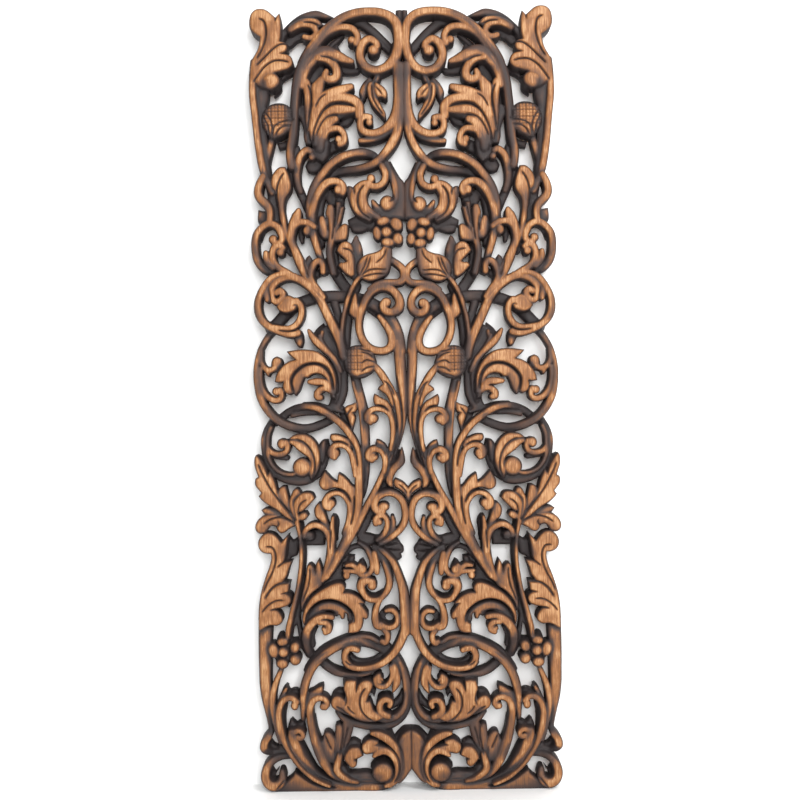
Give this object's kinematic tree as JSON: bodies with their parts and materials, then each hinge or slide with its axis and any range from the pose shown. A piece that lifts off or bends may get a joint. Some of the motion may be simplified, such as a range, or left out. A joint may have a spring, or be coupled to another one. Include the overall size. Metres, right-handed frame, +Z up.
{
  "type": "carved wall panel",
  "caption": "Tall openwork wall panel carved from one hardwood board, with mirrored scrolls, leaves, buds and flowers on both sides of its centre line and a flat back.",
  "frame": {"origin": "on the flat back, on the centre line of the crown, 10 mm below the top edge, where the panel is fastened to a wall", "axes": "+Z up along the panel, -Y out of the carved face towards the room, +X to the right as the carved face is seen"},
  "size_m": [0.352, 0.027, 0.9],
  "materials": {
    "wood": "dark stain rubbed back to warm brown on the crests, low satin sheen"
  },
  "bodies": {
    "root": {"carved_panel": "wood"}
  },
  "joints": []
}
